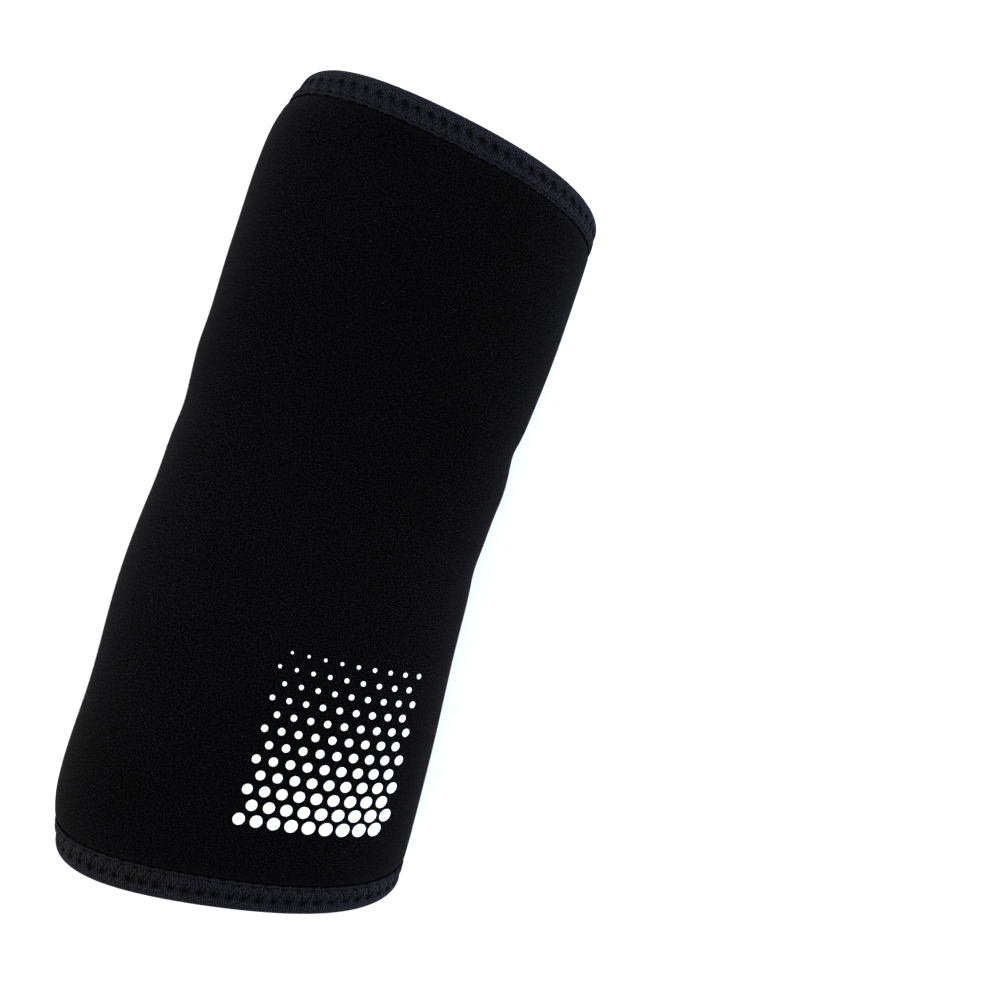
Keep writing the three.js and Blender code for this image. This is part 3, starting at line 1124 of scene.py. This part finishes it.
def new_material(name):
    """A material with an empty net, its shader and its output."""
    material = bpy.data.materials.new(name)
    material.use_nodes = True
    material.node_tree.nodes.clear()
    net = Net(material.node_tree)
    shader = net.add("ShaderNodeBsdfPrincipled")
    output = net.add("ShaderNodeOutputMaterial")
    net.feed(output.inputs["Surface"], shader.outputs[0])
    return material, net, shader


def shaded(net, pattern, colour, levels):
    """A colour that goes from one level of itself to another as a pattern goes from 0 to 1."""
    low, high = ([level * part for part in colour] + [1] for level in levels)
    return net.mixed(pattern, low, high)


def set_finish(shader, finish):
    """Sets what is the same all over the surface on the shader's own sockets."""
    for name, value in finish.items():
        shader.inputs[name].default_value = value


def bumped(net, height, depth, normal=None):
    """The surface's normal, turned by a height from 0 to 1 of a depth in metres."""
    inputs = {"Height": height, "Distance": depth, "Strength": 1.0}
    if normal is not None:
        inputs["Normal"] = normal
    return net.add("ShaderNodeBump", inputs).outputs[0]


def knit_material(groups, colours):
    """The sleeve's matte black nylon knit: fine courses, a sharp grain and a few specks of lint.

    It is painted a little paler by a bell along the sleeve over the elbow: partly the knit's stretch
    there and partly painted light that the elbow's bulge catches. Its grain is partly painted glints,
    and it is painted darker between its courses, as painted shade.
    """
    material, net, shader = new_material("black_knit")
    fabric = net.add("ShaderNodeUVMap", uv_map="Fabric").outputs[0]
    loops = placed(net, groups["knit"], fabric, course=COURSE, wale=WALE)
    grain = placed(net, groups["grain"], fabric, **KNIT_GRAIN)
    tone = placed(net, groups["grain"], fabric, **KNIT_TONE)
    lint = placed(net, groups["lint"], fabric, **KNIT_LINT)
    # The grain squared lightens the colour in sparse bright points, partly the knit's own grain and
    # partly painted glints of its fibres, and the loops darken it between courses as painted shade.
    lit_loops = net.maths("MULTIPLY_ADD", loops, 0.7, 0.5)
    glints = net.maths("MULTIPLY", net.maths("POWER", grain, 2.0), lit_loops)
    # Painted light: a bell along the sleeve makes the knit paler over the elbow, partly its stretch
    # there and partly the light that the elbow's bulge catches.
    along = net.add("ShaderNodeSeparateXYZ", {0: fabric}).outputs[1]
    aside = net.maths("SUBTRACT", along, STRETCH_AND_LIGHT_STATION)
    from_elbow = net.maths("DIVIDE", aside, STRETCH_AND_LIGHT_REACH)
    square = net.maths("MULTIPLY", from_elbow, from_elbow)
    stretch_and_light = net.maths("EXPONENT", net.maths("MULTIPLY", square, -1.0))
    level = net.maths("MULTIPLY_ADD", stretch_and_light, 0.4, net.maths("MULTIPLY_ADD", tone, 0.3, 0.75))
    shade = net.maths("MULTIPLY", glints, level)
    base = shaded(net, shade, colours.knit, KNIT_LEVELS)
    net.feed(shader.inputs["Base Color"], net.mixed(lint, base, KNIT_LINT_COLOUR))
    net.feed(shader.inputs["Roughness"], net.maths("MULTIPLY_ADD", grain, -0.2, 0.85))
    looped = bumped(net, loops, LOOP_DEPTH)
    normal = bumped(net, grain, KNIT_GRAIN_DEPTH, looped)
    net.feed(shader.inputs["Normal"], normal)
    set_finish(shader, KNIT_FINISH)
    return material


def tape_material(groups, colours):
    """The binding's ribbed knit: ribs across the tape, a little lighter and bluer than the sleeve.

    The Shade attribute paints shade on it in the stitched band and the needle holes, most between
    two ribs, and paints a highlight on the lip along its edge. The furrows between ribs are painted
    darker too, as painted shade.
    """
    material, net, shader = new_material("ribbed_tape")
    fabric = net.add("ShaderNodeUVMap", uv_map="Fabric").outputs[0]
    grain = placed(net, groups["grain"], fabric, **TAPE_GRAIN)
    tone = placed(net, groups["grain"], fabric, **TAPE_TONE)
    lint = placed(net, groups["lint"], fabric, **TAPE_LINT)
    parts = net.add("ShaderNodeSeparateXYZ", {0: fabric}).outputs
    bend = net.maths("MULTIPLY", grain, 0.6)
    ribs = net.maths("MULTIPLY_ADD", parts[0], FULL_TURN / RIB, bend)
    ridges = net.maths("MULTIPLY_ADD", net.maths("SINE", ribs), 0.5, 0.5)
    # Painted shade: the colour is darker in the furrows between ribs.
    lit_ridges = net.maths("MULTIPLY_ADD", ridges, 0.7, 0.25)
    knit = net.maths("MULTIPLY", lit_ridges, net.maths("POWER", grain, 1.5))
    knit = net.maths("MULTIPLY", knit, net.maths("MULTIPLY_ADD", tone, 0.4, 0.8))
    # Painted shade from the Shade attribute, deepest between two ribs, and a painted highlight on the
    # lip.
    shade = net.add("ShaderNodeAttribute", attribute_name="Shade").outputs["Fac"]
    deep = net.maths("MULTIPLY", shade, net.maths("MULTIPLY_ADD", ridges, -0.3, 1.15))
    lit = net.maths("MULTIPLY_ADD", deep, -0.95, 1.0)
    level = net.maths("MULTIPLY", knit, lit, clamped=True)
    base = shaded(net, level, colours.tape, TAPE_LEVELS)
    net.feed(shader.inputs["Base Color"], net.mixed(lint, base, TAPE_LINT_COLOUR))
    net.feed(shader.inputs["Roughness"], net.maths("MULTIPLY_ADD", grain, -0.2, 0.8))
    ribbed = bumped(net, ridges, RIB_DEPTH)
    normal = bumped(net, grain, TAPE_GRAIN_DEPTH, ribbed)
    net.feed(shader.inputs["Normal"], normal)
    set_finish(shader, TAPE_FINISH)
    return material


def thread_material(colours):
    """The sewing thread: two twisted plies, which wind as the way along plus the way round."""
    material, net, shader = new_material("sewing_thread")
    fabric = net.add("ShaderNodeUVMap", uv_map="Fabric").outputs[0]
    parts = net.add("ShaderNodeSeparateXYZ", {0: fabric}).outputs
    wound = net.maths("MULTIPLY_ADD", parts[1], 1.2, parts[0])
    plies = net.maths("SINE", net.maths("MULTIPLY", wound, FULL_TURN / PLY))
    height = net.maths("MULTIPLY_ADD", plies, 0.5, 0.5)
    # Painted shade: the thread's colour is darker down between its plies and paler on their tops.
    base = shaded(net, height, colours.thread, THREAD_LEVELS)
    net.feed(shader.inputs["Base Color"], base)
    net.feed(shader.inputs["Normal"], bumped(net, height, PLY_DEPTH))
    set_finish(shader, THREAD_FINISH)
    return material


def ink_material(groups, colours):
    """White printed ink: matte, with the knit showing through as a faint relief and tone."""
    material, net, shader = new_material("white_ink")
    fabric = net.add("ShaderNodeUVMap", uv_map="Fabric").outputs[0]
    loops = placed(net, groups["knit"], fabric, course=COURSE, wale=WALE)
    grain = placed(net, groups["grain"], fabric, **INK_GRAIN)
    worn = net.maths("MULTIPLY_ADD", loops, -0.1, net.maths("MULTIPLY", grain, 0.16), clamped=True)
    base = shaded(net, worn, colours.ink, INK_LEVELS)
    net.feed(shader.inputs["Base Color"], base)
    net.feed(shader.inputs["Normal"], bumped(net, loops, INK_DEPTH))
    net.feed(shader.inputs["Roughness"], net.maths("MULTIPLY_ADD", grain, 0.15, 0.5))
    set_finish(shader, INK_FINISH)
    return material


def floor_material(colours):
    """The pale matte floor, with the faintest grain."""
    material, net, shader = new_material("pale_floor")
    place = net.add("ShaderNodeTexCoord").outputs["Object"]
    noise = net.add("ShaderNodeTexNoise", {"Vector": place, "Scale": 90.0, "Detail": 3.0})
    base = shaded(net, noise.outputs[0], colours.floor, FLOOR_LEVELS)
    net.feed(shader.inputs["Base Color"], base)
    set_finish(shader, FLOOR_FINISH)
    return material


def add_piece(name, parts, material, material_slot, *replaced):
    """Puts a mesh in the scene as a piece that rides on the one body."""
    mesh = mesh_of(name, *parts)
    mesh.materials.append(material)
    piece = bpy.data.objects.new(name, mesh)
    bpy.context.scene.collection.objects.link(piece)
    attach(piece, "root")
    if replaced:
        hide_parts(*replaced)
    return piece


def form_and_seams(scene):
    """The sleeve's form and its two seams, upper arm first, from the panel's sizes."""
    form = Form(scene.brace_sizes)
    return form, [Seam(form, scene.brace_stitches, end) for end in (1, -1)]


def shared_groups():
    """The shared node groups, which are built when the first piece asks for them."""
    made = bpy.data.node_groups
    makers = {"Knit loops": knit_group, "Fabric grain": grain_group, "Lint": lint_group}
    groups = [made[name] if name in made else make() for name, make in makers.items()]
    return dict(zip(("knit", "grain", "lint"), groups))


class BRACE_OT_sleeve(bpy.types.Operator):
    """Model the foam rubber sleeve with its knit faces"""

    bl_idname = "brace.sleeve"
    bl_label = "Sleeve"

    def execute(self, context):
        scene = context.scene
        form, seams = form_and_seams(scene)
        material = knit_material(shared_groups(), scene.brace_colours)
        parts = sleeve_parts(form, seams)
        sleeve = add_piece("foam_sleeve", parts, material, "foam_jersey", "sleeve")
        return {"FINISHED"}


class BRACE_OT_bindings(bpy.types.Operator):
    """Model the tape that is folded over each rim"""

    bl_idname = "brace.bindings"
    bl_label = "Bindings"

    def execute(self, context):
        scene = context.scene
        form, seams = form_and_seams(scene)
        material = tape_material(shared_groups(), scene.brace_colours)
        for seam, name in zip(seams, ("upper_arm", "forearm")):
            parts = tape_parts(form, seam)
            tape = add_piece(f"{name}_tape", parts, material, "knitted_tape", f"{name}_binding")
        return {"FINISHED"}


class BRACE_OT_stitches(bpy.types.Operator):
    """Model the zigzag stitches through both bindings, outside and inside"""

    bl_idname = "brace.stitches"
    bl_label = "Stitches"

    def execute(self, context):
        scene = context.scene
        form, seams = form_and_seams(scene)
        material = thread_material(scene.brace_colours)
        for seam, name in zip(seams, ("upper_arm", "forearm")):
            parts = joined([thread_parts(form, seam, side) for side in (1, -1)])
            add_piece(f"{name}_stitches", parts, material, "knitted_tape")
        return {"FINISHED"}


class BRACE_OT_print(bpy.types.Operator):
    """Model the printed dots near the forearm rim"""

    bl_idname = "brace.print"
    bl_label = "Print"

    def execute(self, context):
        scene = context.scene
        form, seams = form_and_seams(scene)
        material = ink_material(shared_groups(), scene.brace_colours)
        parts = print_parts(form, seams, scene.brace_print)
        add_piece("printed_dots", parts, material, "foam_jersey")
        return {"FINISHED"}


def add_softbox(name, place, aim, power, colour):
    """A square area light at a place, turned to face an aim."""
    light = bpy.data.lights.new(name, "AREA")
    light.size = SOFTBOX_SIZE
    light.energy = power
    light.color = colour
    softbox = bpy.data.objects.new(name, light)
    softbox.location = place
    away = np.array(place) - np.array(aim)
    level = math.hypot(away[0], away[1])
    tilt = math.atan2(level, away[2])
    softbox.rotation_euler = (tilt, 0, math.atan2(away[1], away[0]) + math.pi / 2)
    bpy.context.scene.collection.objects.link(softbox)


class BRACE_OT_stage(bpy.types.Operator):
    """Set up the floor, the lights and the camera"""

    bl_idname = "brace.stage"
    bl_label = "Stage"

    def execute(self, context):
        scene = context.scene
        stage = scene.brace_stage
        sides = np.array([(-1, -1, 0), (1, -1, 0), (1, 1, 0), (-1, 1, 0)])
        corners = FLOOR_HALF_WIDTH * sides
        mesh = mesh_of("floor", corners, np.array([[0, 1, 2, 3]]), corners[:, :2])
        mesh.materials.append(floor_material(scene.brace_colours))
        floor = bpy.data.objects.new("floor", mesh)
        scene.collection.objects.link(floor)
        floor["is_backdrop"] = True

        world = bpy.data.worlds.new("studio")
        world.use_nodes = True
        background = world.node_tree.nodes["Background"].inputs
        background["Color"].default_value = (1, 1, 1, 1)
        background["Strength"].default_value = stage.surrounding
        scene.world = world
        scene.view_settings.view_transform = "Standard"

        right = np.array([math.cos(stage.camera_turn), math.sin(stage.camera_turn), 0])
        up = np.array([-math.sin(stage.camera_turn), math.cos(stage.camera_turn), 0])
        lift = np.array([0, 0, 1.0])
        middle = np.array([0, 0, 0.03])
        for name, power, colour, (to_right, to_top, upwards) in SOFTBOXES:
            place = middle + to_right * right + to_top * up + upwards * lift
            add_softbox(name, place, middle, getattr(stage, power), colour)

        camera = bpy.data.objects.new("camera", bpy.data.cameras.new("camera"))
        focus = stage.camera_height - REFERENCE_HEIGHT
        camera.data.sensor_width = SENSOR_WIDTH
        camera.data.lens = stage.pixels_per_metre * focus * SENSOR_WIDTH / IMAGE_WIDTH
        camera.location = (*CAMERA_OVER, stage.camera_height)
        camera.rotation_euler = (0, 0, stage.camera_turn)
        scene.collection.objects.link(camera)
        scene.camera = camera
        return {"FINISHED"}


class BRACE_PT_panel(bpy.types.Panel):
    """Lists the brace's sizes and the pieces that can be made"""

    bl_idname = "BRACE_PT_panel"
    bl_label = "Elbow Brace"
    bl_space_type = "VIEW_3D"
    bl_region_type = "UI"
    bl_category = "Elbow Brace"

    def draw(self, context):
        layout = self.layout
        for label, name in SETTINGS.items():
            box = layout.box()
            box.label(text=label)
            group = getattr(context.scene, name)
            for size in group.__annotations__:
                box.prop(group, size)
        for operator in OPERATORS:
            layout.operator(operator.bl_idname)


OPERATORS = (BRACE_OT_sleeve, BRACE_OT_bindings, BRACE_OT_stitches, BRACE_OT_print, BRACE_OT_stage)
SETTINGS = {
    "Sleeve": "brace_sizes",
    "Stitches": "brace_stitches",
    "Print": "brace_print",
    "Colours": "brace_colours",
    "Stage": "brace_stage",
}
SETTING_GROUPS = (BraceSizes, StitchSizes, PrintSizes, BraceColours, StageSizes)


def register():
    for group in (*SETTING_GROUPS, *OPERATORS, BRACE_PT_panel):
        bpy.utils.register_class(group)
    for name, group in zip(SETTINGS.values(), SETTING_GROUPS):
        setattr(bpy.types.Scene, name, bpy.props.PointerProperty(type=group))


def unregister():
    for name in SETTINGS.values():
        delattr(bpy.types.Scene, name)
    for group in reversed((*SETTING_GROUPS, *OPERATORS, BRACE_PT_panel)):
        bpy.utils.unregister_class(group)


def main():
    register()
    bpy.ops.brace.sleeve()
    bpy.ops.brace.bindings()
    bpy.ops.brace.stitches()
    bpy.ops.brace.print()
    bpy.ops.brace.stage()


if __name__ == "__main__":
    main()
